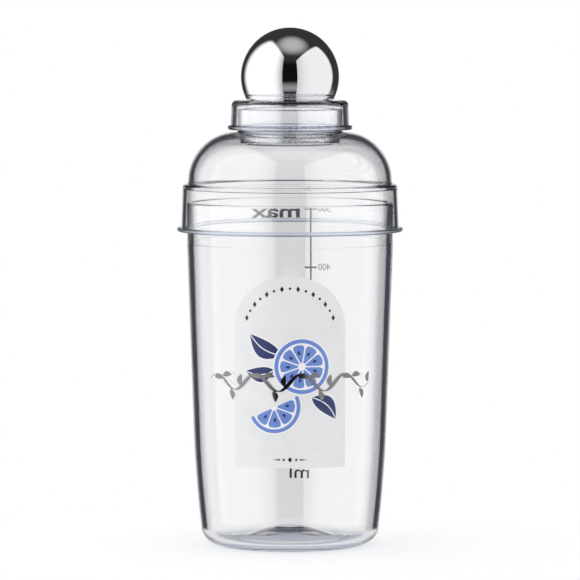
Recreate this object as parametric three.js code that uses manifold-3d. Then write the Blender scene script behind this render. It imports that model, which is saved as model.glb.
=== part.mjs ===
// Clear cocktail shaker: a tapered cup, a domed lid with a strainer in its neck, and a cap with a chrome ball.
// Millimetres, +Z up, origin at the centre of the foot on the surface that the shaker stands on.

import * as THREE from 'three';
import { mergeVertices } from 'three/addons/utils/BufferGeometryUtils.js';
import Module from 'manifold-3d';

const wasm = await Module();
wasm.setup();

// Clearances between pieces that slip, press or seat together
const slipFit = 0.3;
const seatGap = 0.3;

// Cup
const cupHeight = 135;
const cupRimRadius = 40.45;
const cupRimWall = 1.8;
const cupRimRound = 0.8;
const cupLandHeight = 16.2;
const cupLandStep = 0.15;
const cupKneeRadius = 37.4;
const cupKneeHeight = 27;
const cupKneeBend = 500;
const cupHeelRadius = 34.3;
const cupHeelRound = 7.5;
const cupWall = 2.2;
const cupFloorHeight = 2.5;
const cupInnerHeelRound = 5.3;
const puntRadius = 21;
const puntTopRadius = 7.6;
const puntHeight = 4.6;
const footRingInnerRadius = 24;
const footRecessDepth = 0.6;
const footRecessSlope = 0.5;
const gateMarkRadius = 1.6;
const gateMarkDepth = 0.4;

// Lid
const lidWall = 1.9;
const collarOverlap = 11.5;
const collarHeadroom = 7;
const collarWall = 1.45;
const collarDraft = 0.6;
const collarEdgeRound = 1.1;
const flangeReach = 1.6;
const flangeThickness = 1.6;
const flangeRound = 0.8;
const domeRadius = 40.2;
const domeDraft = 1.4;
const domeFootRound = 1;
const domeRise = 20.7;
const domeFall = 1.9;
const domeRound = 19;
const neckRadius = 20.5;
const neckHeight = 8.9;
const neckWall = 1.8;
const neckEdgeRound = 0.6;
const neckFootRound = 0.5;

// Strainer and the skirt under the neck that holds it
const skirtDrop = 1.8;
const skirtRadius = 19.7;
const skirtRound = 1.2;
const skirtLedgeReach = 1.5;
const skirtLedgeThickness = 1.4;
const strainerThickness = 1.5;
const strainerEdgeRound = 0.4;
const strainerHoleRadius = 1.5;
const strainerHolePitch = 4.6;
const strainerHoleMargin = 1.6;
const strainerHolesAdded = 6;

// Cap
const capHeight = 11.6;
const capWall = 2.1;
const capDraft = 0.4;
const capHeadroom = 1.7;
const capRoof = 1;
const capTopRound = 1.8;
const capLipReach = 1.2;
const capLipThickness = 1.8;
const capLipRound = 0.8;
const capInnerRound = 0.8;
const dishRadius = 16.9;
const dishDepth = 0.7;
const dishRound = 0.6;
const postRadius = 3.5;
const postHeight = 9.1;
const postEdgeRound = 0.6;

// Ball
const ballRadius = 19.4;
const ballWall = 1.6;
const ballDrop = 8.6;
const ballFootMargin = 0.7;
const ballFootThickness = 0.6;
const ballPlugHeight = 2.8;
const ballSocketWall = 1.6;

// Facets
const facetsAround = 48;
const facetsAroundHole = 10;
const chordError = 0.1;
const leastArcSteps = 2;
const mostOfEdge = 0.98;
const weldDistance = 1e-4;

// Heights that follow from the sizes above
const collarMouth = cupHeight - collarOverlap;
const collarTop = cupHeight + collarHeadroom;
const domeTop = collarTop + domeRise;
const domeCeiling = domeTop - lidWall;
const neckTop = domeTop + neckHeight;
const skirtBottom = domeCeiling - skirtDrop;
const strainerBottom = skirtBottom + skirtLedgeThickness + seatGap;
const capCeiling = neckTop + capHeadroom;
const dishFloor = capCeiling + capRoof;
const capTop = dishFloor + dishDepth;
const capMouth = capTop - capHeight;
const postTop = dishFloor + postHeight;
const ballFootBottom = dishFloor + seatGap;
const ballFootTop = ballFootBottom + ballFootThickness;
const ballCut = ballFootTop + seatGap;
const ballCentre = ballCut + ballDrop;

// Radii that follow from the sizes above
const neckBore = neckRadius - neckWall;
const ballBore = Math.sqrt((ballRadius - ballWall) ** 2 - ballDrop ** 2);

const clearPlastic = new THREE.MeshStandardMaterial({
  color: 0xe9eef4,
  roughness: 0.06,
  metalness: 0,
  transparent: true,
  opacity: 0.3,
});
const chrome = new THREE.MeshStandardMaterial({ color: 0xd6d8dc, roughness: 0.06, metalness: 1 });

// Length that a rounding takes from each side of its corner, before it is fitted to those sides
function wantedReach(before, corner, after, rounding) {
  const back = before.clone().sub(corner);
  const ahead = after.clone().sub(corner);
  return rounding / Math.tan(back.angleTo(ahead) / 2);
}

// Arc that rounds a corner, touching both of its sides at the given reach
function cornerArc(before, corner, after, reach) {
  const back = before.clone().sub(corner).normalize();
  const ahead = after.clone().sub(corner).normalize();
  const halfAngle = back.angleTo(ahead) / 2;
  const radius = reach * Math.tan(halfAngle);
  const centre = back.clone().add(ahead).setLength(radius / Math.sin(halfAngle)).add(corner);
  const from = back.clone().multiplyScalar(reach).add(corner).sub(centre);
  const to = ahead.clone().multiplyScalar(reach).add(corner).sub(centre);
  const turn = Math.PI - 2 * halfAngle;
  const stepAngle = 2 * Math.acos(1 - Math.min(chordError / radius, 1));
  const steps = Math.max(leastArcSteps, Math.ceil(turn / stepAngle));
  const clockwise = back.cross(ahead) > 0;
  const arc = new THREE.EllipseCurve(
    centre.x, centre.y, radius, radius, Math.atan2(from.y, from.x), Math.atan2(to.y, to.x), clockwise,
  );
  return arc.getPoints(steps);
}

// Outline in the (radius, height) half plane. A corner is [radius, height] or [radius, height, rounding],
// and roundings that meet on a short side share it.
function roundedOutline(corners, closed) {
  const count = corners.length;
  const at = corners.map(([radius, height]) => new THREE.Vector2(radius, height));
  const before = (i) => at[(i + count - 1) % count];
  const after = (i) => at[(i + 1) % count];
  const isEnd = (i) => !closed && (i === 0 || i === count - 1);
  const wanted = corners.map(([, , rounding = 0], i) => (
    rounding === 0 || isEnd(i) ? 0 : wantedReach(before(i), at[i], after(i), rounding)
  ));
  const edgeShare = (i, j) => {
    const total = wanted[i] + wanted[j];
    return total === 0 ? 1 : Math.min(1, (mostOfEdge * at[i].distanceTo(at[j])) / total);
  };
  const points = at.flatMap((corner, i) => {
    if (wanted[i] === 0) return [corner];
    const share = Math.min(edgeShare((i + count - 1) % count, i), edgeShare(i, (i + 1) % count));
    return cornerArc(before(i), corner, after(i), wanted[i] * share);
  });
  return closed ? [...points, points[0].clone()] : points;
}

// Solid of revolution about Z from an outline that runs from axis to axis, or closes on itself
function revolve(points) {
  const geometry = new THREE.LatheGeometry(points, facetsAround);
  geometry.rotateX(Math.PI / 2);
  return geometry;
}

// Closed solid for joining and cutting, with shared vertices merged and flat slivers on the axis dropped
function toSolid(geometry) {
  const bare = geometry.clone();
  bare.deleteAttribute('normal');
  bare.deleteAttribute('uv');
  const welded = mergeVertices(bare, weldDistance);
  const triangles = [];
  for (let i = 0; i < welded.index.count; i += 3) {
    const [a, b, c] = [0, 1, 2].map((k) => welded.index.getX(i + k));
    if (a !== b && b !== c && c !== a) triangles.push(a, b, c);
  }
  return new wasm.Manifold(new wasm.Mesh({
    numProp: 3,
    vertProperties: new Float32Array(welded.attributes.position.array),
    triVerts: new Uint32Array(triangles),
  }));
}

function fromSolid(solid) {
  const mesh = solid.getMesh();
  const geometry = new THREE.BufferGeometry();
  geometry.setAttribute('position', new THREE.BufferAttribute(mesh.vertProperties, 3));
  geometry.setIndex(new THREE.BufferAttribute(mesh.triVerts, 1));
  geometry.computeVertexNormals();
  return geometry;
}

function namedMesh(name, geometry, material) {
  const mesh = new THREE.Mesh(geometry, material);
  mesh.name = name;
  return mesh;
}

function cup() {
  const landFoot = cupHeight - cupLandHeight;
  const recessRadius = footRingInnerRadius - footRecessSlope;
  const sideSlope = (cupKneeRadius - cupHeelRadius) / cupKneeHeight;
  const innerHeelRadius = cupHeelRadius + sideSlope * cupFloorHeight - cupWall;
  const puntCeiling = footRecessDepth + puntHeight;
  const puntTop = cupFloorHeight + puntHeight;
  return revolve(roundedOutline([
    [0, puntCeiling + gateMarkDepth],
    [gateMarkRadius, puntCeiling + gateMarkDepth],
    [gateMarkRadius, puntCeiling],
    [puntTopRadius, puntCeiling],
    [puntRadius, footRecessDepth],
    [recessRadius, footRecessDepth],
    [footRingInnerRadius, 0],
    [cupHeelRadius, 0, cupHeelRound],
    [cupKneeRadius, cupKneeHeight, cupKneeBend],
    [cupRimRadius + cupLandStep, landFoot],
    [cupRimRadius, landFoot],
    [cupRimRadius, cupHeight, cupRimRound],
    [cupRimRadius - cupRimWall, cupHeight, cupRimRound],
    [cupKneeRadius - cupWall, cupKneeHeight, cupKneeBend],
    [innerHeelRadius, cupFloorHeight, cupInnerHeelRound],
    [puntRadius, cupFloorHeight],
    [puntTopRadius, puntTop],
    [0, puntTop],
  ], false));
}

function lid() {
  const collarBore = cupRimRadius + slipFit;
  const mouthBore = collarBore + collarDraft;
  const ledgeRadius = neckBore - skirtLedgeReach;
  const flangeRadius = mouthBore + collarWall + flangeReach;
  return revolve(roundedOutline([
    [mouthBore, collarMouth],
    [flangeRadius, collarMouth, flangeRound],
    [flangeRadius, collarMouth + flangeThickness, flangeRound],
    [mouthBore + collarWall, collarMouth + flangeThickness],
    [collarBore + collarWall, collarTop, collarEdgeRound],
    [domeRadius, collarTop, domeFootRound],
    [domeRadius - domeDraft, domeTop - domeFall, domeRound],
    [neckRadius, domeTop, neckFootRound],
    [neckRadius, neckTop, neckEdgeRound],
    [neckBore, neckTop, neckEdgeRound],
    [neckBore, skirtBottom + skirtLedgeThickness],
    [ledgeRadius, skirtBottom + skirtLedgeThickness],
    [ledgeRadius, skirtBottom],
    [skirtRadius, skirtBottom, skirtRound],
    [skirtRadius, domeCeiling],
    [domeRadius - domeDraft - lidWall, domeCeiling - domeFall, domeRound - lidWall],
    [domeRadius - lidWall, collarTop - lidWall],
    [collarBore, collarTop - lidWall],
  ], true));
}

// Drills for the drainage holes: one in the middle, then rings that each hold a fixed number more
function strainerDrills(discRadius) {
  const drill = new THREE.CylinderGeometry(
    strainerHoleRadius, strainerHoleRadius, 2 * strainerThickness, facetsAroundHole,
  );
  drill.rotateX(Math.PI / 2);
  const outermost = discRadius - strainerHoleMargin - strainerHoleRadius;
  const rings = Math.floor(outermost / strainerHolePitch);
  const drills = [];
  for (let ring = 0; ring <= rings; ring += 1) {
    const inRing = Math.max(1, strainerHolesAdded * ring);
    for (let i = 0; i < inRing; i += 1) {
      const angle = (i / inRing) * 2 * Math.PI;
      const x = ring * strainerHolePitch * Math.cos(angle);
      const y = ring * strainerHolePitch * Math.sin(angle);
      drills.push(toSolid(drill.clone().translate(x, y, strainerBottom + strainerThickness / 2)));
    }
  }
  return drills;
}

function strainer() {
  const discRadius = neckBore - slipFit;
  const disc = toSolid(revolve(roundedOutline([
    [0, strainerBottom],
    [discRadius, strainerBottom, strainerEdgeRound],
    [discRadius, strainerBottom + strainerThickness, strainerEdgeRound],
    [0, strainerBottom + strainerThickness],
  ], false)));
  const drilled = strainerDrills(discRadius).reduce((solid, drill) => solid.subtract(drill), disc);
  return fromSolid(drilled);
}

function cap() {
  const bore = neckRadius + slipFit;
  const mouthBore = bore + capDraft;
  const skirtOuter = bore + capWall;
  const mouthOuter = mouthBore + capWall;
  const lipRadius = mouthOuter + capLipReach;
  return revolve(roundedOutline([
    [0, capCeiling],
    [bore, capCeiling, capInnerRound],
    [mouthBore, capMouth],
    [lipRadius, capMouth, capLipRound],
    [lipRadius, capMouth + capLipThickness, capLipRound],
    [mouthOuter, capMouth + capLipThickness],
    [skirtOuter, capTop, capTopRound],
    [dishRadius, capTop, dishRound],
    [dishRadius, dishFloor],
    [postRadius, dishFloor],
    [postRadius, postTop, postEdgeRound],
    [0, postTop],
  ], false));
}

// Arc of a sphere about the ball's centre, from its cut to its top
function ballArc(radius) {
  const cutAngle = -Math.asin(ballDrop / radius);
  const stepAngle = 2 * Math.acos(1 - chordError / radius);
  const steps = Math.ceil((Math.PI / 2 - cutAngle) / stepAngle);
  return new THREE.EllipseCurve(0, ballCentre, radius, radius, cutAngle, Math.PI / 2).getPoints(steps);
}

function ballShell() {
  const outside = ballArc(ballRadius);
  const inside = ballArc(ballRadius - ballWall).reverse();
  outside.at(-1).x = 0;
  inside[0].x = 0;
  return revolve([...inside, ...outside]);
}

function ballBase() {
  const footRadius = dishRadius - ballFootMargin;
  const plugRadius = ballBore - slipFit;
  const plugTop = ballFootTop + ballPlugHeight;
  const socketBore = postRadius + slipFit;
  const socketRadius = socketBore + ballSocketWall;
  const socketRoof = postTop + seatGap;
  return revolve(roundedOutline([
    [0, socketRoof],
    [socketBore, socketRoof],
    [socketBore, ballFootBottom],
    [footRadius, ballFootBottom],
    [footRadius, ballFootTop],
    [plugRadius, ballFootTop],
    [plugRadius, plugTop],
    [socketRadius, plugTop],
    [socketRadius, socketRoof + ballSocketWall],
    [0, socketRoof + ballSocketWall],
  ], false));
}

const shaker = new THREE.Group();
shaker.add(namedMesh('cup', cup(), clearPlastic));
shaker.add(namedMesh('lid', lid(), clearPlastic));
shaker.add(namedMesh('strainer', strainer(), clearPlastic));
shaker.add(namedMesh('cap', cap(), clearPlastic));
shaker.add(namedMesh('ball_shell', ballShell(), chrome));
shaker.add(namedMesh('ball_base', ballBase(), chrome));

export default shaker;
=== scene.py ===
"""Clear cocktail shaker: fine lathed clear pieces, a chrome ball, a front print and a volume scale."""

import math

import bmesh
import bpy
from bpy.props import FloatProperty, FloatVectorProperty, IntProperty, PointerProperty
from mathutils import Matrix, Vector


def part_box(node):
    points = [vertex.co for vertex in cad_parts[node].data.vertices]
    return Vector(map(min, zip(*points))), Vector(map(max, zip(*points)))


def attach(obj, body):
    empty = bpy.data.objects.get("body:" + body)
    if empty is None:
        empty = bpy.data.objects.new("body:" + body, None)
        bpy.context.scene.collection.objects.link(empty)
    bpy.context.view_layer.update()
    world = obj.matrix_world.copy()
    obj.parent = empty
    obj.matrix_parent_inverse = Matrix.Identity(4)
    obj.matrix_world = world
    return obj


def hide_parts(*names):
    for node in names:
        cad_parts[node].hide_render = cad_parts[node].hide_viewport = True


bl_info = {
    "name": "Clear Cocktail Shaker",
    "version": (1, 0, 0),
    "blender": (4, 5, 0),
    "location": "View3D > Sidebar > Shaker",
    "description": "Dresses the frame of a clear cocktail shaker with a chrome ball on its cap",
    "category": "Object",
}

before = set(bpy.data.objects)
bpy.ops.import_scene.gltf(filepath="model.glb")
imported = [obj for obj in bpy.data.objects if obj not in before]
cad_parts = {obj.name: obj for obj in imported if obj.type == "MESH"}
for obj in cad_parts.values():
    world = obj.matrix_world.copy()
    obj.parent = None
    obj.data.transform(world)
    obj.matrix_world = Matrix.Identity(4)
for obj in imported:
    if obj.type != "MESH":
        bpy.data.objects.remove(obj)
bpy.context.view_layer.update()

MM = 0.001
MILLILITRE = 1e-6
TURN = 2 * math.pi

CUP_LOW, CUP_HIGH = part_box("cup")
LID_LOW, LID_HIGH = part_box("lid")
STRAINER_LOW, STRAINER_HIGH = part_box("strainer")
CAP_LOW, CAP_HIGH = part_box("cap")
SHELL_LOW, SHELL_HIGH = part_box("ball_shell")
BASE_LOW, BASE_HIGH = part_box("ball_base")

FACETS_AROUND = 192
ARC_STEP = math.radians(9)
CHORD_ERROR = 0.003 * MM
LEAST_ARC_STEPS = 4
SUPPORT = 0.02 * MM
LEAST_SIDE = 4 * SUPPORT
MOST_OF_EDGE = 0.98
SHARP_ANGLE = math.radians(40)
AXIS_LIMIT = 1e-7
WELD = 1e-8
BALL_STEPS = FACETS_AROUND // 3
RING_SOFTNESS = 3
VOLUME_STEP = 0.05 * MM

PRINT_STEP = 0.9 * MM
SECTOR_STEP = 0.35 * MM
LEAF_STEP = 0.5 * MM
LEAST_SECTOR_STEPS = 12
LEAST_LEAF_STEPS = 8
LEAF_PEAK = 0.85
LEAF_FULLNESS = 0.9
LEAF_BOW = 0.5
FLESH_ROUNDING = 9
FLESH_GRID = (6, 18)
DIAMOND_GRID = (2, 4)
CAPITAL_SHARE = 0.69
LETTER_STEPS = 4

WHITE = (1, 1, 1)
WIPING_STRETCH = (9, 9, 1.5)
SMUDGE_RANGE = (0.38, 0.72)
WIPING_RANGE = (0.3, 0.8)
LEAST_WIPING = 0.4
GRAIN_FINENESS = 30
COAT_RANGE = (0.5, 0.8)
THIN_COAT = 0.96
# Reach and weight of the painted blue shade and the frost on the edges of flange, lip and foot.
EDGE_START = 1.3 * MM
EDGE_FULL = 0.7 * MM
FLANGE_WEIGHT = 0.7
LIP_WEIGHT = 0.4
FOOT_FADE = (0.3 * MM, 1.1 * MM)
RING_FADE = 1 * MM


def length(name, description, millimetres):
    """Length property that is written in millimetres and kept in metres."""
    return FloatProperty(
        name=name, description=description, default=millimetres * MM, unit="LENGTH", precision=5
    )


def share(name, description, default):
    """Plain number property from nothing upward."""
    return FloatProperty(name=name, description=description, default=default, min=0)


def colour(name, description, default):
    """Colour property in linear red, green and blue."""
    return FloatVectorProperty(
        name=name, description=description, default=default, subtype="COLOR", size=3, min=0, max=1
    )


class CupSizes(bpy.types.PropertyGroup):
    """Sizes of the cup."""

    height: length("Height", "Height of the rim above the foot", CUP_HIGH.z / MM)
    rim_radius: length("Rim radius", "Outside radius of the land that the lid slips over", 40.45)
    rim_wall: length("Rim wall", "Thickness of the wall at the rim", 1.8)
    rim_round: length("Rim rounding", "Rounding of both edges of the rim", 0.8)
    land_height: length("Land height", "Height of the land below the rim", 16.2)
    land_step: length("Land step", "Step out at the foot of the land", 0.15)
    knee_radius: length("Knee radius", "Outside radius where the wall turns in", 37.4)
    knee_height: length("Knee height", "Height where the wall turns in", 27)
    knee_bend: length("Knee bend", "Radius of the bend where the wall turns in", 500)
    heel_radius: length("Heel radius", "Outside radius at the foot, before rounding", 34.3)
    heel_round: length("Heel rounding", "Outside rounding from wall to foot", 7.5)
    wall: length("Wall", "Thickness of the wall at the knee", 2.2)
    floor_height: length("Floor height", "Height of the inside floor at its edge", 2.5)
    inner_heel_round: length("Inner heel rounding", "Inside rounding from wall to floor", 5.3)
    punt_radius: length("Punt radius", "Radius at the foot of the cone in the floor", 21)
    punt_top_radius: length("Punt top radius", "Radius of the flat top of that cone", 7.6)
    punt_height: length("Punt height", "Rise of that cone", 4.6)
    punt_round: length("Punt rounding", "Rounding at both ends of that cone", 22)
    ring_inner_radius: length("Ring inner radius", "Inside radius of the ring it stands on", 24)
    recess_depth: length("Recess depth", "Depth of the recess under the floor", 0.6)
    recess_slope: length("Recess slope", "Run of the slope at the edge of the recess", 0.5)
    gate_radius: length("Gate mark radius", "Radius of the moulding mark in the recess", 1.6)
    gate_depth: length("Gate mark depth", "Depth of the moulding mark", 0.4)
    edge_round: length("Edge rounding", "Softening of the small moulded edges", 0.08)


class LidSizes(bpy.types.PropertyGroup):
    """Sizes of the lid with its collar, dome, neck and skirt."""

    mouth: length("Mouth height", "Height of the collar's lower face", LID_LOW.z / MM)
    slip_fit: length("Slip fit", "Clearance between the collar and the cup", 0.3)
    wall: length("Wall", "Thickness of the dome", 1.9)
    collar_top: length("Collar top", "Height of the collar's upper face", 142)
    collar_wall: length("Collar wall", "Thickness of the collar", 1.45)
    collar_draft: length("Collar draft", "Widening of the collar towards its mouth", 0.6)
    collar_round: length("Collar rounding", "Rounding of the collar's upper edge", 1.1)
    flange_radius: length("Flange radius", "Outside radius of the flange", LID_HIGH.x / MM)
    flange_thickness: length("Flange thickness", "Thickness of the flange", 1.6)
    flange_round: length("Flange rounding", "Rounding of the flange's edge", 0.8)
    dome_radius: length("Dome radius", "Outside radius at the foot of the dome", 40.2)
    dome_draft: length("Dome draft", "Narrowing of the dome's side", 1.4)
    dome_foot_round: length("Dome foot rounding", "Rounding where dome meets collar", 1)
    dome_top: length("Dome top", "Height of the dome where it meets the neck", 162.7)
    dome_fall: length("Dome fall", "Fall of the dome's roof from the neck outward", 1.9)
    dome_round: length("Dome rounding", "Radius of the dome's shoulder", 19)
    neck_radius: length("Neck radius", "Outside radius of the neck", 20.5)
    neck_top: length("Neck top", "Height of the neck's rim", LID_HIGH.z / MM)
    neck_wall: length("Neck wall", "Thickness of the neck", 1.8)
    neck_round: length("Neck rounding", "Rounding of the neck's rim", 0.6)
    neck_foot_round: length("Neck foot rounding", "Rounding where neck meets dome", 0.5)
    skirt_bottom: length("Skirt bottom", "Height of the lower end of the skirt", 159)
    skirt_radius: length("Skirt radius", "Outside radius of the skirt", 19.7)
    skirt_round: length("Skirt rounding", "Rounding of the skirt's lower edge", 1.2)
    ledge_reach: length("Ledge reach", "Reach of the ledge that the strainer rests on", 1.5)
    ledge_thickness: length("Ledge thickness", "Thickness of that ledge", 1.4)
    edge_round: length("Edge rounding", "Softening of the small moulded edges", 0.12)


class StrainerSizes(bpy.types.PropertyGroup):
    """Sizes of the strainer plate."""

    radius: length("Radius", "Outside radius of the plate", STRAINER_HIGH.x / MM)
    bottom: length("Bottom", "Height of the plate's lower face", STRAINER_LOW.z / MM)
    top: length("Top", "Height of the plate's upper face", STRAINER_HIGH.z / MM)
    edge_round: length("Edge rounding", "Rounding of the plate's edge", 0.4)
    hole_radius: length("Hole radius", "Radius of each hole", 1.5)
    hole_round: length("Hole rounding", "Rounding of both ends of each hole", 0.15)
    hole_pitch: length("Hole pitch", "Distance between rings of holes", 4.6)
    rings: IntProperty(name="Rings", description="Rings of holes round the middle one", default=3)
    added: IntProperty(name="Holes added", description="Holes that each ring adds", default=6)
    hole_facets: IntProperty(name="Hole facets", description="Facets round each hole", default=32)


class CapSizes(bpy.types.PropertyGroup):
    """Sizes of the cap with its dish and post."""

    mouth: length("Mouth height", "Height of the cap's lower face", CAP_LOW.z / MM)
    bore: length("Bore", "Inside radius under the roof", 20.8)
    draft: length("Draft", "Widening of the cap towards its mouth", 0.4)
    wall: length("Wall", "Thickness of the cap's side", 2.1)
    ceiling: length("Ceiling", "Height of the roof's underside", 173.3)
    inner_round: length("Inner rounding", "Rounding under the roof", 0.8)
    top: length("Top", "Height of the cap's upper face", 175)
    top_round: length("Top rounding", "Rounding of the cap's upper edge", 1.8)
    lip_radius: length("Lip radius", "Outside radius of the lip", CAP_HIGH.x / MM)
    lip_thickness: length("Lip thickness", "Thickness of the lip", 1.8)
    lip_round: length("Lip rounding", "Rounding of the lip", 0.8)
    dish_radius: length("Dish radius", "Radius of the dish that the ball sits in", 16.9)
    dish_floor: length("Dish floor", "Height of the dish's floor", 174.3)
    dish_round: length("Dish rounding", "Rounding of the dish's edge", 0.6)
    post_radius: length("Post radius", "Radius of the post inside the ball", 3.5)
    post_top: length("Post top", "Height of the post's end", CAP_HIGH.z / MM)
    post_round: length("Post rounding", "Rounding of the post's end", 0.6)
    edge_round: length("Edge rounding", "Softening of the small moulded edges", 0.12)


class BallSizes(bpy.types.PropertyGroup):
    """Sizes of the chrome ball and the foot that closes it."""

    radius: length("Radius", "Radius of the ball", SHELL_HIGH.x / MM)
    top: length("Top", "Height of the top of the ball", SHELL_HIGH.z / MM)
    cut: length("Cut", "Height where the ball is cut off", SHELL_LOW.z / MM)
    wall: length("Wall", "Thickness of the ball", 1.6)
    slip_fit: length("Slip fit", "Clearance round the foot's plug and the post", 0.3)
    foot_radius: length("Foot radius", "Radius of the foot", BASE_HIGH.x / MM)
    foot_bottom: length("Foot bottom", "Height of the foot's lower face", BASE_LOW.z / MM)
    foot_thickness: length("Foot thickness", "Thickness of the foot", 0.6)
    foot_round: length("Foot rounding", "Rounding of the foot's edges", 0.2)
    plug_height: length("Plug height", "Height of the plug inside the ball", 2.8)
    socket_bore: length("Socket bore", "Radius of the socket for the post", 3.8)
    socket_wall: length("Socket wall", "Thickness of the socket", 1.6)
    socket_top: length("Socket top", "Height of the socket's closed end", BASE_HIGH.z / MM)


class PrintSizes(bpy.types.PropertyGroup):
    """Sizes of the front print. Arc lengths run round the wall from the middle of the front."""

    film: length("Film", "Thickness of one printed layer", 0.02)
    layer_step: length("Layer step", "Rise from one printed layer to the next", 0.03)
    panel_half: length("Panel half width", "Arc length from the middle to the panel's side", 22.6)
    panel_bottom: length("Panel bottom", "Height of the panel's lower edge", 33.7)
    panel_spring: length("Panel spring", "Height where the panel's arch begins", 87.6)
    panel_top: length("Panel top", "Height of the top of the arch", 108.1)
    wheel_radius: length("Wheel radius", "Radius of the whole fruit wheel", 10.6)
    half_radius: length("Half wheel radius", "Radius of the half fruit wheel", 10.2)
    rim_share: share("Rind share", "Inside radius of the rind, as a share of the wheel", 0.86)
    flesh_share: share("Flesh share", "Outside radius of the flesh, as a share of the wheel", 0.8)
    edge: length("White edge", "Width of the white edge round each motif", 0.7)
    garland_half: length("Garland half length", "Arc length from the middle to the garland's end", 36)
    garland_height: length("Garland height", "Height of the garland's middle line", 67)
    garland_wave: length("Garland wave", "Height of one swing of the garland", 3.4)
    garland_period: length("Garland period", "Arc length of one full swing of the garland", 18)
    garland_leaf: length("Garland leaf", "Length of the garland's leaves", 4.4)
    garland_gap: length("Garland gap", "Gap between the garland's line and its leaves", 0.9)
    garland_turn: FloatProperty(
        name="Garland turn", description="Turn of the leaves from the line",
        default=math.radians(42), subtype="ANGLE",
    )
    bead_arch_half: length("Bead arch half width", "Half width of the arch of beads", 18.5)
    bead_arch_foot: length("Bead arch foot", "Height of the centre of the arch of beads", 85)
    bead_arch_rise: length("Bead arch rise", "Rise of the arch of beads", 18.4)
    foot_mark_height: length("Foot mark height", "Height of the small mark low on the panel", 37)


class ScaleSizes(bpy.types.PropertyGroup):
    """Sizes of the volume scale. Arc lengths run round the wall from the middle of the back."""

    line_place: length("Line place", "Arc length to the upright line", -8.86)
    line_half: length("Line half width", "Half width of the lines", 0.35)
    line_bottom: length("Line bottom", "Height of the lower end of the upright line", 35.2)
    top_mark: length("Top mark", "Height of the top mark", 129)
    tick_half: length("Tick half width", "Half length of each mark", 2.6)
    numeral_place: length("Numeral place", "Arc length to the inner end of the numerals", -12)
    numeral_height: length("Numeral height", "Height of the numerals", 2.6)
    numeral_drop: length("Numeral drop", "Depth of the numerals' feet below their marks", 1)
    limit_place: length("Limit place", "Arc length to the start of the limit word", -4.6)
    limit_height: length("Limit height", "Height of the limit word's tall letters", 5)
    limit_drop: length("Limit drop", "Depth of the limit word's foot below the top mark", 3.4)
    limit_weight: length("Limit weight", "Thickening of the limit word", 0.16)
    limit_stretch: share("Limit stretch", "Widening of the limit word", 1.7)
    unit_stretch: share("Unit stretch", "Widening of the unit", 1.3)
    unit_weight: length("Unit weight", "Thickening of the unit", 0.05)
    unit_place: length("Unit place", "Arc length to the start of the unit", -8.6)
    unit_bottom: length("Unit bottom", "Height of the foot of the unit", 22.1)
    unit_height: length("Unit height", "Height of the unit's tall letters", 5)
    step_volume: share("Step volume", "Volume between marks in millilitres", 100)
    top_volume: IntProperty(name="Top volume", description="Volume at the top mark", default=500)


class Finishes(bpy.types.PropertyGroup):
    """Colours and strengths of the finishes."""

    refraction: share("Refraction", "Index of refraction of the clear plastic", 1.59)
    absorption: colour("Absorption", "What the clear plastic lets through", (0.15, 0.28, 0.9))
    absorption_density: share("Absorption density", "Strength of the absorption per metre", 5)
    shadow_tint: colour("Shadow tint", "Light that the clear plastic passes on", (0.93, 0.935, 0.94))
    # Painted shade: a blue base colour on the edges of flange, lip and foot, standing in for the darker
    # blue light that long paths through the plastic give there.
    edge_tint: colour("Edge tint", "Blue of the edges of flange, lip and foot", (0.48, 0.6, 0.85))
    edge_frost: share("Edge frost", "Roughness of those edges", 0.4)
    chrome: colour("Chrome", "Colour of the plating", (0.72, 0.725, 0.735))
    panel_ink: colour("Panel ink", "Pale ink of the front panel", (0.82, 0.83, 0.84))
    white_ink: colour("White ink", "Ink of the white edges", (0.9, 0.9, 0.91))
    blue_ink: colour("Blue ink", "Ink of the fruit wheels", (0.15, 0.26, 0.66))
    navy_ink: colour("Navy ink", "Ink of the leaves and pips", (0.017, 0.032, 0.14))
    black_ink: colour("Black ink", "Ink of the beads and the scale", (0.012, 0.012, 0.014))
    foil: colour("Foil", "Colour of the stamped foil", (0.2, 0.195, 0.2))


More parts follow.
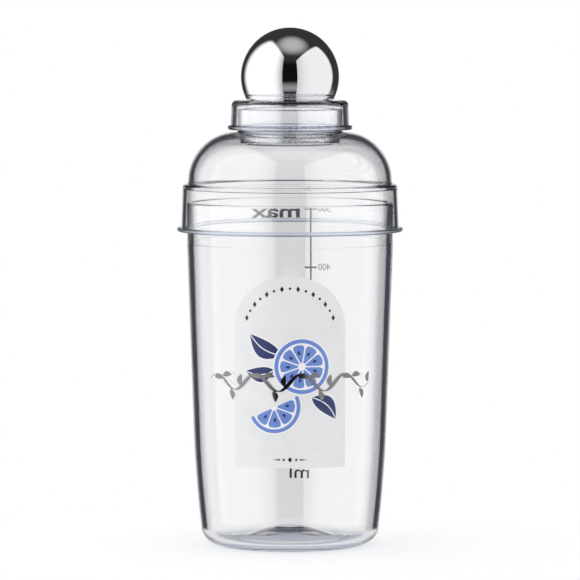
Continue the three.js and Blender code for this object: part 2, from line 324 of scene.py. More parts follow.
class StageSettings(bpy.types.PropertyGroup):
    """Camera, light and floor."""

    lens: share("Lens", "Focal length in millimetres on a 36 mm sensor", 266.28)
    camera_distance: length("Camera distance", "Distance of the camera in front", 1686)
    camera_height: length("Camera height", "Height of the camera", 212)
    aim_height: length("Aim height", "Height that the camera looks at", 100.25)
    panel_distance: length("Light panel distance", "Distance of the light panels to each side", 600)
    panel_bottom: length("Light panel bottom", "Height of the panels' lower edge", -1800)
    panel_near: length("Light panel near end", "Place of the panels' near end", -1950)
    panel_slope: share("Light panel slope", "Fall of the panels' upper edge towards the back", 0.4)
    left_far: length("Left panel far end", "Place of the left panel's far end", 450)
    left_top: length("Left panel top", "Height of the left panel beside the shaker", 1500)
    left_soft: length("Left panel softness", "Width of the left panel's faded edge", 240)
    left_dim: share("Left dimming", "Share of its glow at the left panel's near end", 0.36)
    left_glow: share("Left glow", "Brightness of the left panel", 1.6)
    right_far: length("Right panel far end", "Place of the right panel's far end", 300)
    right_top: length("Right panel top", "Height of the right panel beside the shaker", 980)
    right_soft: length("Right panel softness", "Width of the right panel's faded edge", 60)
    right_dim: share("Right dimming", "Share of its glow at the right panel's near end", 0.7)
    right_glow: share("Right glow", "Brightness of the right panel", 1.18)
    dim_end: length("Dimming end", "Place where the dimming of both panels ends", -250)
    plain_share: share("Plain share", "Share of the panels' glow that lights matt surfaces", 0.74)
    top_glow: share("Top glow", "Brightness of the soft light overhead", 0.6)
    backdrop: share("Backdrop", "Brightness of the backdrop behind the clear plastic", 0.81)
    fill: share("Fill", "Brightness of the soft light from all round", 1.0)
    table: share("Table", "Brightness of the table in front, in reflections low on the cup", 0.36)
    dark: share("Dark", "Brightness of the dark gaps between the lights", 0.042)
    dim: share("Dim", "Brightness of those gaps where the clear plastic bends light to them", 0.09)
    scatter_share: share("Scatter share", "Share of the backdrop that nested walls show", 0.7)
    dim_tint: colour("Dim tint", "Blue of those gaps in the edges of the clear plastic", (0.72, 0.77, 1))
    floor_radius: length("Floor radius", "Radius of the pale floor", 160)
    floor_drop: length("Floor drop", "Gap between floor and foot", 0.3)
    glimpse_radius: length("Glimpse radius", "Radius of the floor that is white through the base", 45)
    # Painted shadow: a blue-grey patch on the floor under the cup's cone, seen only through the clear
    # plastic.
    shade_radius: length("Shade radius", "Radius of the shaded floor under the cup's cone", 26)
    shade_place: length("Shade place", "Distance that the shade is set back from the axis", 5)
    shade: colour("Shade", "Colour of that shaded floor", (0.56, 0.59, 0.69))
    floor_lift: share("Floor lift", "Brightness that brings the floor up to white", 0.14)
    floor_colour: colour("Floor colour", "Colour of the floor", (0.9, 0.9, 0.9))


def reach_wanted(before, corner, after, rounding):
    """Length that a rounding takes from each side of its corner."""
    return rounding / math.tan((before - corner).angle(after - corner) / 2)


def corner_arc(before, corner, after, reach):
    """Points of the arc that rounds a corner and touches both of its sides at the given reach."""
    back = (before - corner).normalized()
    ahead = (after - corner).normalized()
    half_angle = back.angle(ahead) / 2
    radius = reach * math.tan(half_angle)
    centre = corner + (back + ahead).normalized() * (radius / math.sin(half_angle))
    start = corner + back * reach - centre
    sweep = math.pi - 2 * half_angle
    step = min(ARC_STEP, 2 * math.acos(1 - min(1, CHORD_ERROR / radius)))
    steps = max(LEAST_ARC_STEPS, math.ceil(sweep / step))
    side = -1 if back.cross(ahead) > 0 else 1
    return [centre + Matrix.Rotation(side * sweep * i / steps, 2) @ start for i in range(steps + 1)]


def rounded_outline(corners, closed=False):
    """Outline in the (radius, height) half plane, from corners of (radius, height, rounding)."""
    count = len(corners)
    at = [Vector(corner[:2]) for corner in corners]
    wanted = []
    for i, corner in enumerate(corners):
        is_end = not closed and i in (0, count - 1)
        rounding = 0 if is_end or len(corner) < 3 else corner[2]
        wanted.append(rounding and reach_wanted(at[i - 1], at[i], at[(i + 1) % count], rounding))

    def edge_share(i, j):
        total = wanted[i] + wanted[j]
        return 1 if total == 0 else min(1, MOST_OF_EDGE * (at[i] - at[j]).length / total)

    arcs = []
    for i in range(count):
        following = (i + 1) % count
        reach = wanted[i] * min(edge_share(i - 1, i), edge_share(i, following))
        arcs.append(corner_arc(at[i - 1], at[i], at[following], reach) if reach else [at[i]])
    points = []
    for i, arc in enumerate(arcs):
        points.extend(arc)
        if closed or i < count - 1:
            points.extend(support_points(arc[-1], arcs[(i + 1) % count][0]))
    return points


def support_points(start, end):
    """Points just inside the ends of a straight side, which keep its shading straight."""
    run = end - start
    if run.length < LEAST_SIDE:
        return []
    inset = run.normalized() * SUPPORT
    return [start + inset, end - inset]


def lathe(outline, closed=False):
    """Mesh of an outline turned about the upright axis."""
    shape = bmesh.new()
    rings = []
    for point in outline:
        if point.x < AXIS_LIMIT:
            rings.append([shape.verts.new((0, 0, point.y))] * FACETS_AROUND)
            continue
        angles = [TURN * i / FACETS_AROUND for i in range(FACETS_AROUND)]
        rings.append([
            shape.verts.new((point.x * math.cos(a), point.x * math.sin(a), point.y)) for a in angles
        ])
    pairs = list(zip(rings, rings[1:]))
    if closed:
        pairs.append((rings[-1], rings[0]))
    for lower, upper in pairs:
        for i in range(FACETS_AROUND):
            j = (i + 1) % FACETS_AROUND
            corners = dict.fromkeys((lower[i], lower[j], upper[j], upper[i]))
            if len(corners) > 2:
                shape.faces.new(corners)
    bmesh.ops.recalc_face_normals(shape, faces=shape.faces)
    return shape


def add_piece(name, shape, material, body, node=None):
    """Object from a mesh that rides on a body, and hides the node of the frame that it takes the place
    of, if one is named.
    """
    mesh = bpy.data.meshes.new(name)
    shape.to_mesh(mesh)
    shape.free()
    mesh.materials.append(material)
    mesh.shade_smooth()
    mesh.set_sharp_from_angle(angle=SHARP_ANGLE)
    piece = bpy.data.objects.new(name, mesh)
    bpy.context.scene.collection.objects.link(piece)
    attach(piece, body)
    if node:
        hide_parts(node)
    return piece


def cup_outline(sizes):
    """Outline of the cup from the middle of its recess, up its outside and down its inside."""
    land_foot = sizes.height - sizes.land_height
    recess_radius = sizes.ring_inner_radius - sizes.recess_slope
    side_slope = (sizes.knee_radius - sizes.heel_radius) / sizes.knee_height
    inner_heel = sizes.heel_radius + side_slope * sizes.floor_height - sizes.wall
    punt_ceiling = sizes.recess_depth + sizes.punt_height
    punt_top = sizes.floor_height + sizes.punt_height
    soft = sizes.edge_round
    ring_round = RING_SOFTNESS * soft
    return rounded_outline([
        (0, punt_ceiling + sizes.gate_depth),
        (sizes.gate_radius, punt_ceiling + sizes.gate_depth, soft),
        (sizes.gate_radius, punt_ceiling, soft),
        (sizes.punt_top_radius, punt_ceiling, sizes.punt_round),
        (sizes.punt_radius, sizes.recess_depth, sizes.punt_round),
        (recess_radius, sizes.recess_depth, ring_round),
        (sizes.ring_inner_radius, 0, ring_round),
        (sizes.heel_radius, 0, sizes.heel_round),
        (sizes.knee_radius, sizes.knee_height, sizes.knee_bend),
        (sizes.rim_radius + sizes.land_step, land_foot, soft),
        (sizes.rim_radius, land_foot, soft),
        (sizes.rim_radius, sizes.height, sizes.rim_round),
        (sizes.rim_radius - sizes.rim_wall, sizes.height, sizes.rim_round),
        (sizes.knee_radius - sizes.wall, sizes.knee_height, sizes.knee_bend),
        (inner_heel, sizes.floor_height, sizes.inner_heel_round),
        (sizes.punt_radius, sizes.floor_height, sizes.punt_round),
        (sizes.punt_top_radius, punt_top, sizes.punt_round),
        (0, punt_top),
    ])


def cup_sides(sizes):
    """Outside and inside halves of the cup's outline."""
    outline = cup_outline(sizes)
    top = max(range(len(outline)), key=lambda i: outline[i].y)
    return outline[:top + 1], outline[top:]


def radius_at(side, height):
    """Largest radius that one side of an outline has at a height."""
    found = 0
    for lower, upper in zip(side, side[1:]):
        rise = upper.y - lower.y
        if rise == 0 or (lower.y - height) * (upper.y - height) > 0:
            continue
        found = max(found, lower.lerp(upper, (height - lower.y) / rise).x)
    return found


def lid_outline(sizes, rim_radius):
    """Outline of the lid, once round its section."""
    collar_bore = rim_radius + sizes.slip_fit
    mouth_bore = collar_bore + sizes.collar_draft
    flange_top = sizes.mouth + sizes.flange_thickness
    collar_roof = sizes.collar_top - sizes.wall
    ceiling = sizes.dome_top - sizes.wall
    neck_bore = sizes.neck_radius - sizes.neck_wall
    ledge_radius = neck_bore - sizes.ledge_reach
    ledge_top = sizes.skirt_bottom + sizes.ledge_thickness
    soft = sizes.edge_round
    return rounded_outline([
        (mouth_bore, sizes.mouth, soft),
        (sizes.flange_radius, sizes.mouth, sizes.flange_round),
        (sizes.flange_radius, flange_top, sizes.flange_round),
        (mouth_bore + sizes.collar_wall, flange_top, soft),
        (collar_bore + sizes.collar_wall, sizes.collar_top, sizes.collar_round),
        (sizes.dome_radius, sizes.collar_top, sizes.dome_foot_round),
        (sizes.dome_radius - sizes.dome_draft, sizes.dome_top - sizes.dome_fall, sizes.dome_round),
        (sizes.neck_radius, sizes.dome_top, sizes.neck_foot_round),
        (sizes.neck_radius, sizes.neck_top, sizes.neck_round),
        (neck_bore, sizes.neck_top, sizes.neck_round),
        (neck_bore, ledge_top, soft),
        (ledge_radius, ledge_top, soft),
        (ledge_radius, sizes.skirt_bottom, soft),
        (sizes.skirt_radius, sizes.skirt_bottom, sizes.skirt_round),
        (sizes.skirt_radius, ceiling, soft),
        (
            sizes.dome_radius - sizes.dome_draft - sizes.wall,
            ceiling - sizes.dome_fall,
            sizes.dome_round - sizes.wall,
        ),
        (sizes.dome_radius - sizes.wall, collar_roof, soft),
        (collar_bore, collar_roof, soft),
    ], closed=True)


def cap_outline(sizes):
    """Outline of the cap from the middle of its roof, down its inside and up its outside."""
    mouth_bore = sizes.bore + sizes.draft
    mouth_outer = mouth_bore + sizes.wall
    lip_top = sizes.mouth + sizes.lip_thickness
    soft = sizes.edge_round
    return rounded_outline([
        (0, sizes.ceiling),
        (sizes.bore, sizes.ceiling, sizes.inner_round),
        (mouth_bore, sizes.mouth, soft),
        (sizes.lip_radius, sizes.mouth, sizes.lip_round),
        (sizes.lip_radius, lip_top, sizes.lip_round),
        (mouth_outer, lip_top, soft),
        (sizes.bore + sizes.wall, sizes.top, sizes.top_round),
        (sizes.dish_radius, sizes.top, sizes.dish_round),
        (sizes.dish_radius, sizes.dish_floor, soft),
        (sizes.post_radius, sizes.dish_floor, soft),
        (sizes.post_radius, sizes.post_top, sizes.post_round),
        (0, sizes.post_top),
    ])


def ball_arc(sizes, radius):
    """Arc of the ball's section from its cut up to its top, for the outside or the inside radius."""
    centre = sizes.top - sizes.radius
    start = -math.asin((centre - sizes.cut) / radius)
    angles = [start + (math.pi / 2 - start) * i / BALL_STEPS for i in range(BALL_STEPS)]
    arc = [Vector((radius * math.cos(a), centre + radius * math.sin(a))) for a in angles]
    return arc + [Vector((0, centre + radius))]


def ball_outline(sizes):
    """Outline of the hollow ball from the top of its inside, round its cut edge, to its top."""
    inside = ball_arc(sizes, sizes.radius - sizes.wall)
    return inside[::-1] + ball_arc(sizes, sizes.radius)


def foot_outline(sizes):
    """Outline of the foot that closes the ball, with its plug and the socket for the post."""
    centre = sizes.top - sizes.radius
    inner_radius = sizes.radius - sizes.wall
    plug_radius = math.sqrt(inner_radius ** 2 - (centre - sizes.cut) ** 2) - sizes.slip_fit
    foot_top = sizes.foot_bottom + sizes.foot_thickness
    plug_top = foot_top + sizes.plug_height
    socket_radius = sizes.socket_bore + sizes.socket_wall
    socket_roof = sizes.socket_top - sizes.socket_wall
    return rounded_outline([
        (0, socket_roof),
        (sizes.socket_bore, socket_roof),
        (sizes.socket_bore, sizes.foot_bottom),
        (sizes.foot_radius, sizes.foot_bottom, sizes.foot_round),
        (sizes.foot_radius, foot_top, sizes.foot_round),
        (plug_radius, foot_top),
        (plug_radius, plug_top),
        (socket_radius, plug_top),
        (socket_radius, sizes.socket_top),
        (0, sizes.socket_top),
    ])


def edge_rings(shape, centre, radius, spread, sizes, rounding, facets):
    """Rings of a rounded edge from the plate's lower face to its upper one. Returns the outer loops."""
    section = rounded_outline([
        (radius + spread, sizes.bottom),
        (radius, sizes.bottom, rounding),
        (radius, sizes.top, rounding),
        (radius + spread, sizes.top),
    ])[1:-1]
    rings = []
    for point in section:
        ring = []
        for i in range(facets):
            angle = TURN * i / facets
            x = centre.x + point.x * math.cos(angle)
            y = centre.y + point.x * math.sin(angle)
            ring.append(shape.verts.new((x, y, point.y)))
        rings.append(ring)
    for lower, upper in zip(rings, rings[1:]):
        for i in range(facets):
            j = (i + 1) % facets
            shape.faces.new((lower[i], lower[j], upper[j], upper[i]))
    return rings[0], rings[-1]


def strainer_plate(sizes):
    """Mesh of the round plate with rounded edges and its rings of drainage holes."""
    shape = bmesh.new()
    middle = Vector((0, 0))
    margin = sizes.hole_radius
    loops = [edge_rings(shape, middle, sizes.radius, -margin, sizes, sizes.edge_round, FACETS_AROUND)]
    for ring in range(sizes.rings + 1):
        holes = max(1, sizes.added * ring)
        for i in range(holes):
            angle = TURN * i / holes
            centre = Vector((math.cos(angle), math.sin(angle))) * (ring * sizes.hole_pitch)
            loops.append(edge_rings(
                shape, centre, sizes.hole_radius, margin, sizes, sizes.hole_round, sizes.hole_facets
            ))
    for face_side in (0, 1):
        edges = []
        for loop in (pair[face_side] for pair in loops):
            edges.extend(shape.edges.get((loop[i - 1], loop[i])) for i in range(len(loop)))
        bmesh.ops.triangle_fill(shape, use_beauty=True, use_dissolve=False, edges=edges)
    bmesh.ops.recalc_face_normals(shape, faces=shape.faces)
    return shape


def add_patch(flat, place, across, along):
    """Grid of faces on the flat print, from a function of two shares that gives (arc, height)."""
    grid = [
        [flat.verts.new((*place(i / across, j / along), 0)) for i in range(across + 1)]
        for j in range(along + 1)
    ]
    for lower, upper in zip(grid, grid[1:]):
        for i in range(across):
            flat.faces.new((lower[i], lower[i + 1], upper[i + 1], upper[i]))


def add_sector(flat, centre, inner, outer, start=0.0, end=TURN):
    """Disc, ring or part of one on the flat print."""
    def place(s, t):
        angle = start + (end - start) * s
        radius = inner + (outer - inner) * t
        return centre[0] + radius * math.cos(angle), centre[1] + radius * math.sin(angle)

    around = max(LEAST_SECTOR_STEPS, math.ceil((end - start) * outer / SECTOR_STEP))
    add_patch(flat, place, around, max(1, math.ceil((outer - inner) / PRINT_STEP)))


def add_ribbon(flat, line, half_width, along, across=2):
    """Stroke along a line of (arc, height), with a half width that changes on the way."""
    tiny = 1e-4

    def place(s, t):
        x, y = line(t)
        before, after = line(max(0, t - tiny)), line(min(1, t + tiny))
        ahead = Vector((after[0] - before[0], after[1] - before[1])).normalized()
        offset = (2 * s - 1) * half_width(t)
        return x + ahead.y * offset, y - ahead.x * offset

    add_patch(flat, place, across, along)


def add_leaf(flat, root, tip, half_width, grow=0.0, rib=0.0):
    """Pointed leaf in two halves beside a bare rib, or in one piece where it has no rib."""
    root, tip = Vector(root), Vector(tip)
    ahead = (tip - root).normalized()
    root, tip = root - ahead * grow, tip + ahead * grow
    outward = Vector((-ahead.y, ahead.x))

    def half(side):
        def place(s, t):
            width = (half_width + grow) * math.sin(math.pi * t ** LEAF_PEAK) ** LEAF_FULLNESS
            inner = min(rib / 2, width)
            bow = LEAF_BOW * half_width * math.sin(math.pi * t)
            spot = root.lerp(tip, t) + outward * (bow + side * (inner + (width - inner) * s))
            return spot.x, spot.y
        return place

    along = max(LEAST_LEAF_STEPS, math.ceil((tip - root).length / LEAF_STEP))
    across = max(2, math.ceil(half_width / PRINT_STEP))
    for side in (-1, 1):
        add_patch(flat, half(side), across, along)


def add_flesh(flat, centre, inner, outer, angle, half_angle, gap):
    """One segment of a fruit wheel: a wedge with a rounded outer end."""
    ahead = Vector((math.cos(angle), math.sin(angle)))
    outward = Vector((-ahead.y, ahead.x))

    def place(s, t):
        radius = inner + (outer - inner) * t
        wedge = max(0, radius * math.tan(half_angle) - gap / 2)
        width = wedge * math.sqrt(max(0, 1 - t ** FLESH_ROUNDING))
        spot = Vector(centre) + ahead * radius + outward * ((2 * s - 1) * width)
        return spot.x, spot.y

    add_patch(flat, place, *FLESH_GRID)


def add_diamond(flat, centre, half_width, half_height):
    """Small diamond on the flat print."""
    def place(s, t):
        width = half_width * (1 - abs(2 * t - 1))
        return centre[0] + (2 * s - 1) * width, centre[1] + (2 * t - 1) * half_height

    add_patch(flat, place, *DIAMOND_GRID)


def add_bar(flat, low, high):
    """Upright rectangle on the flat print, between two corners."""
    def place(s, t):
        return low[0] + (high[0] - low[0]) * s, low[1] + (high[1] - low[1]) * t

    across = max(1, math.ceil((high[0] - low[0]) / PRINT_STEP))
    add_patch(flat, place, across, max(1, math.ceil((high[1] - low[1]) / PRINT_STEP)))


def add_words(flat, words, place, tall, align="LEFT", weight=0.0, stretch=1.0):
    """Letters or numerals on the flat print, cut into strips so that they bend with the wall."""
    lettering = bpy.data.curves.new("lettering", "FONT")
    lettering.body = words
    lettering.size = tall / CAPITAL_SHARE
    lettering.align_x = align
    lettering.offset = weight
    lettering.resolution_u = LETTER_STEPS
    holder = bpy.data.objects.new("lettering", lettering)
    mesh = bpy.data.meshes.new_from_object(holder)
    mesh.transform(Matrix.Translation((*place, 0)) @ Matrix.Diagonal((stretch, 1, 1, 1)))
    letters = bmesh.new()
    letters.from_mesh(mesh)
    left = min(vert.co.x for vert in letters.verts)
    right = max(vert.co.x for vert in letters.verts)
    for i in range(1, math.ceil((right - left) / PRINT_STEP)):
        everything = letters.verts[:] + letters.edges[:] + letters.faces[:]
        bmesh.ops.bisect_plane(
            letters, geom=everything, plane_co=(left + i * PRINT_STEP, 0, 0), plane_no=(1, 0, 0)
        )
    letters.to_mesh(mesh)
    letters.free()
    flat.from_mesh(mesh)
    bpy.data.meshes.remove(mesh)
    bpy.data.objects.remove(holder)
    bpy.data.curves.remove(lettering)


def wrap_print(flat, layer, wall, turn=0.0):
    """Closed thin film on the cup's outside wall, from a flat print of (arc, height)."""
    sizes = bpy.context.scene.shaker_print
    bmesh.ops.remove_doubles(flat, verts=flat.verts, dist=WELD)
    bmesh.ops.dissolve_degenerate(flat, edges=flat.edges, dist=WELD)
    raised = bmesh.ops.extrude_face_region(flat, geom=flat.faces[:], use_keep_orig=True)["geom"]
    for part in raised:
        if isinstance(part, bmesh.types.BMVert):
            part.co.z = sizes.film
    lift = sizes.film + layer * sizes.layer_step
    for vert in flat.verts:
        arc, height, rise = vert.co
        radius = radius_at(wall, height)
        angle = turn + arc / radius
        radius += lift + rise
        vert.co = (radius * math.sin(angle), -radius * math.cos(angle), height)
    bmesh.ops.recalc_face_normals(flat, faces=flat.faces)
    return flat


def feed(tree, socket, value):
    """Link a socket to an input, or set the input to a plain value."""
    if isinstance(value, bpy.types.NodeSocket):
        tree.links.new(value, socket)
    else:
        socket.default_value = value


def make_node(tree, kind, *in_order, **by_name):
    """Node with inputs fed in order or by name, spaces in names written as underscores."""
    node = tree.nodes.new(kind)
    for socket, value in zip(node.inputs, in_order):
        feed(tree, socket, value)
    for name, value in by_name.items():
        feed(tree, node.inputs[name.replace("_", " ")], value)
    return node


def maths(tree, operation, first, *others):
    """Output of a chain of maths nodes on sockets or numbers."""
    for other in others or (0.0,):
        node = make_node(tree, "ShaderNodeMath", first, other)
        node.operation = operation
        first = node.outputs["Value"]
    return first


def vector_maths(tree, operation, *vectors):
    """Number that a vector maths node puts out."""
    node = make_node(tree, "ShaderNodeVectorMath", *vectors)
    node.operation = operation
    return node.outputs["Value"]


def separate(tree, vector):
    """Outputs X, Y and Z of a vector."""
    return make_node(tree, "ShaderNodeSeparateXYZ", vector).outputs


def noise(tree, vector, scale, detail, roughness):
    """Output of a noise texture."""
    return make_node(
        tree, "ShaderNodeTexNoise", Vector=vector, Scale=scale, Detail=detail, Roughness=roughness
    ).outputs["Fac"]


def smooth_range(tree, value, from_min, from_max, to_min, to_max):
    """Output that goes softly from one value to another as a socket crosses a range."""
    node = make_node(
        tree, "ShaderNodeMapRange",
        Value=value, From_Min=from_min, From_Max=from_max, To_Min=to_min, To_Max=to_max,
    )
    node.interpolation_type = "SMOOTHSTEP"
    return node.outputs["Result"]


def choose(tree, flag, otherwise, chosen):
    """Output that is one value where a flag is set and another where it is not."""
    kept = maths(tree, "MULTIPLY", maths(tree, "SUBTRACT", 1.0, flag), otherwise)
    return maths(tree, "ADD", kept, maths(tree, "MULTIPLY", flag, chosen))


def mix_colours(tree, factor, first, second):
    """Output that goes from one colour to another with a factor."""
    node = tree.nodes.new("ShaderNodeMix")
    node.data_type = "RGBA"
    node.inputs["A"].default_value = (*first, 1)
    node.inputs["B"].default_value = (*second, 1)
    tree.links.new(factor, node.inputs["Factor"])
    return node.outputs["Result"]


def mix_shaders(tree, factor, first, second):
    """Shader that goes from one shader to another with a factor."""
    return make_node(tree, "ShaderNodeMixShader", factor, first, second).outputs["Shader"]


def new_group(name, inputs, output):
    """Empty shader group with a vector input, float inputs and one float output."""
    group = bpy.data.node_groups.new(name, "ShaderNodeTree")
    group.interface.new_socket("Vector", in_out="INPUT", socket_type="NodeSocketVector")
    for label, default in inputs.items():
        socket = group.interface.new_socket(label, in_out="INPUT", socket_type="NodeSocketFloat")
        socket.default_value = default
    group.interface.new_socket(output, in_out="OUTPUT", socket_type="NodeSocketFloat")
    given = group.nodes.new("NodeGroupInput").outputs
    return group, given, group.nodes.new("NodeGroupOutput").inputs[output]


def haze_group():
    """Roughness of a handled surface: soft smudges broken up by fine wiping marks."""
    name = "Handled Haze"
    if name in bpy.data.node_groups:
        return bpy.data.node_groups[name]
    group, given, result = new_group(name, {"Scale": 40, "Low": 0.0, "High": 0.1}, "Roughness")
    stretch = make_node(group, "ShaderNodeMapping", Vector=given["Vector"], Scale=WIPING_STRETCH)
    smudge = noise(group, given["Vector"], given["Scale"], detail=3, roughness=0.55)
    wiping = noise(group, stretch.outputs["Vector"], given["Scale"], detail=2, roughness=0.5)
    soft = smooth_range(group, smudge, *SMUDGE_RANGE, 0, 1)
    fine = smooth_range(group, wiping, *WIPING_RANGE, LEAST_WIPING, 1)
    spread = maths(group, "SUBTRACT", given["High"], given["Low"])
    rise = maths(group, "MULTIPLY", soft, fine, spread)
    group.links.new(maths(group, "ADD", rise, given["Low"]), result)
    return group


def ripple_group():
    """Height of a moulded or printed surface: a slow flow ripple with a fine grain on it."""
    name = "Surface Ripple"
    if name in bpy.data.node_groups:
        return bpy.data.node_groups[name]
    group, given, result = new_group(name, {"Scale": 40, "Grain": 0.1}, "Height")
    flow = noise(group, given["Vector"], given["Scale"], detail=1, roughness=0.4)
    fine_scale = maths(group, "MULTIPLY", given["Scale"], GRAIN_FINENESS)
    grain = noise(group, given["Vector"], fine_scale, detail=2, roughness=0.6)
    fine = maths(group, "MULTIPLY", grain, given["Grain"])
    group.links.new(maths(group, "ADD", flow, fine), result)
    return group


def edge_group():
    """Mask of the edges of the shaker that get a painted blue shade and frost: the flange, the lip and
    the foot.
    """
    name = "Moulded Edges"
    if name in bpy.data.node_groups:
        return bpy.data.node_groups[name]
    group, given, result = new_group(name, {}, "Edge")
    scene = bpy.context.scene
    lid, cap = scene.shaker_lid, scene.shaker_cap
    ring = scene.shaker_cup.ring_inner_radius
    parts = separate(group, given["Vector"])
    height = parts["Z"]
    squares = [maths(group, "MULTIPLY", parts[axis], parts[axis]) for axis in "XY"]
    radius = maths(group, "SQRT", maths(group, "ADD", *squares))
    masks = []
    for low, thick, outer, weight in (
        (lid.mouth, lid.flange_thickness, lid.flange_radius, FLANGE_WEIGHT),
        (cap.mouth, cap.lip_thickness, cap.lip_radius, LIP_WEIGHT),
    ):
        above = maths(group, "GREATER_THAN", height, low - SUPPORT)
        below = maths(group, "LESS_THAN", height, low + thick + SUPPORT)
        out = smooth_range(group, radius, outer - EDGE_START, outer - EDGE_FULL, 0, weight)
        masks.append(maths(group, "MULTIPLY", above, below, out))
    foot = smooth_range(group, height, *FOOT_FADE, 1, 0)
    outside = smooth_range(group, radius, ring, ring + RING_FADE, 0, 1)
    masks.append(maths(group, "MULTIPLY", foot, outside))
    group.links.new(maths(group, "ADD", *masks), result)
    return group


def place_group(tree, group, vector, **values):
    """Output of a group node in a material, fed with a vector and its own values."""
    node = tree.nodes.new("ShaderNodeGroup")
    node.node_tree = group
    for name, value in {"Vector": vector, **values}.items():
        feed(tree, node.inputs[name], value)
    return node.outputs[0]


def new_material(name):
    """Material with an empty node tree, its output node and the object's coordinates."""
    material = bpy.data.materials.new(name)
    material.use_nodes = True
    tree = material.node_tree
    tree.nodes.clear()
    output = tree.nodes.new("ShaderNodeOutputMaterial")
    coordinates = tree.nodes.new("ShaderNodeTexCoord").outputs["Object"]
    return material, tree, output, coordinates


def finished_surface(tree, coordinates, haze, ripple, strength, depth, **inputs):
    """Principled shader whose roughness and bump come from the shared groups."""
    height = place_group(tree, ripple_group(), coordinates, **ripple)
    bump = make_node(tree, "ShaderNodeBump", Strength=strength, Distance=depth, Height=height)
    inputs["Normal"] = bump.outputs["Normal"]
    inputs["Roughness"] = place_group(tree, haze_group(), coordinates, **haze)
    return make_node(tree, "ShaderNodeBsdfPrincipled", **inputs)


def clear_plastic(finishes):
    """Clear plastic with a blue depth and a painted blue shade on its frosted edges. Shadow and matt
    rays pass straight through.
    """
    name = "clear_moulded_plastic"
    if name in bpy.data.materials:
        return bpy.data.materials[name]
    material, tree, output, coordinates = new_material(name)
    # Edge mask: it puts a painted blue shade into the base colour and frost into the roughness.
    edge = place_group(tree, edge_group(), coordinates)
    surface = finished_surface(
        tree, coordinates, {"Scale": 35, "Low": 0.0, "High": 0.02}, {"Scale": 55, "Grain": 0.0},
        strength=0.06, depth=0.4 * MM, Transmission_Weight=1, IOR=finishes.refraction,
        Base_Color=mix_colours(tree, edge, WHITE, finishes.edge_tint),
    )
    polish = surface.inputs["Roughness"].links[0].from_socket
    frost = maths(tree, "MULTIPLY", edge, finishes.edge_frost)
    tree.links.new(maths(tree, "MAXIMUM", polish, frost), surface.inputs["Roughness"])
    plain = make_node(tree, "ShaderNodeBsdfTransparent", Color=(*finishes.shadow_tint, 1))
    rays = tree.nodes.new("ShaderNodeLightPath").outputs
    is_plain = maths(tree, "MAXIMUM", rays["Is Shadow Ray"], rays["Is Diffuse Ray"])
    shader = mix_shaders(tree, is_plain, surface.outputs["BSDF"], plain.outputs["BSDF"])
    depth = make_node(
        tree, "ShaderNodeVolumeAbsorption",
        Color=(*finishes.absorption, 1), Density=finishes.absorption_density,
    )
    tree.links.new(shader, output.inputs["Surface"])
    tree.links.new(depth.outputs["Volume"], output.inputs["Volume"])
    return material


def metal(name, tint, low, high):
    """Mirror metal with handled haze: the ball's plating or the stamped foil."""
    if name in bpy.data.materials:
        return bpy.data.materials[name]
    material, tree, output, coordinates = new_material(name)
    surface = finished_surface(
        tree, coordinates, {"Scale": 60, "Low": low, "High": high}, {"Scale": 70, "Grain": 0.02},
        strength=0.05, depth=0.1 * MM, Base_Color=(*tint, 1), Metallic=1,
    )
    tree.links.new(surface.outputs["BSDF"], output.inputs["Surface"])
    return material


def ink(name, tint):
    """Screen printed ink: a matt film with a slightly uneven coat."""
    if name in bpy.data.materials:
        return bpy.data.materials[name]
    material, tree, output, coordinates = new_material(name)
    coat = place_group(tree, ripple_group(), coordinates, Scale=120, Grain=0.5)
    thin = [THIN_COAT * part for part in tint]
    surface = finished_surface(
        tree, coordinates, {"Scale": 150, "Low": 0.32, "High": 0.5}, {"Scale": 90, "Grain": 0.4},
        strength=0.12, depth=0.05 * MM,
        Base_Color=mix_colours(tree, smooth_range(tree, coat, *COAT_RANGE, 0, 1), thin, tint),
    )
    tree.links.new(surface.outputs["BSDF"], output.inputs["Surface"])
    return material


class SHAKER_OT_cup(bpy.types.Operator):
    """Turn the clear cup"""

    bl_idname = "shaker.cup"
    bl_label = "Cup"

    def execute(self, context):
        shape = lathe(cup_outline(context.scene.shaker_cup))
        plastic = clear_plastic(context.scene.shaker_finish)
        add_piece("cup_shell", shape, plastic, "cup", "cup")
        return {"FINISHED"}


class SHAKER_OT_lid(bpy.types.Operator):
    """Turn the clear lid and drill the strainer in its neck"""

    bl_idname = "shaker.lid"
    bl_label = "Lid and strainer"

    def execute(self, context):
        scene = context.scene
        plastic = clear_plastic(scene.shaker_finish)
        shape = lathe(lid_outline(scene.shaker_lid, scene.shaker_cup.rim_radius), closed=True)
        add_piece("lid_shell", shape, plastic, "lid", "lid")
        plate = strainer_plate(scene.shaker_strainer)
        add_piece("strainer_plate", plate, plastic, "lid", "strainer")
        return {"FINISHED"}


class SHAKER_OT_cap(bpy.types.Operator):
    """Turn the clear cap"""

    bl_idname = "shaker.cap"
    bl_label = "Cap"

    def execute(self, context):
        shape = lathe(cap_outline(context.scene.shaker_cap))
        plastic = clear_plastic(context.scene.shaker_finish)
        add_piece("cap_shell", shape, plastic, "cap", "cap")
        return {"FINISHED"}


class SHAKER_OT_ball(bpy.types.Operator):
    """Turn the chrome ball and its foot"""

    bl_idname = "shaker.ball"
    bl_label = "Chrome ball"

    haze = (0.025, 0.07)

    def execute(self, context):
        sizes = context.scene.shaker_ball
        chrome = metal("polished_chrome", context.scene.shaker_finish.chrome, *self.haze)
        add_piece("ball_dome", lathe(ball_outline(sizes)), chrome, "cap", "ball_shell")
        add_piece("ball_foot", lathe(foot_outline(sizes)), chrome, "cap", "ball_base")
        return {"FINISHED"}


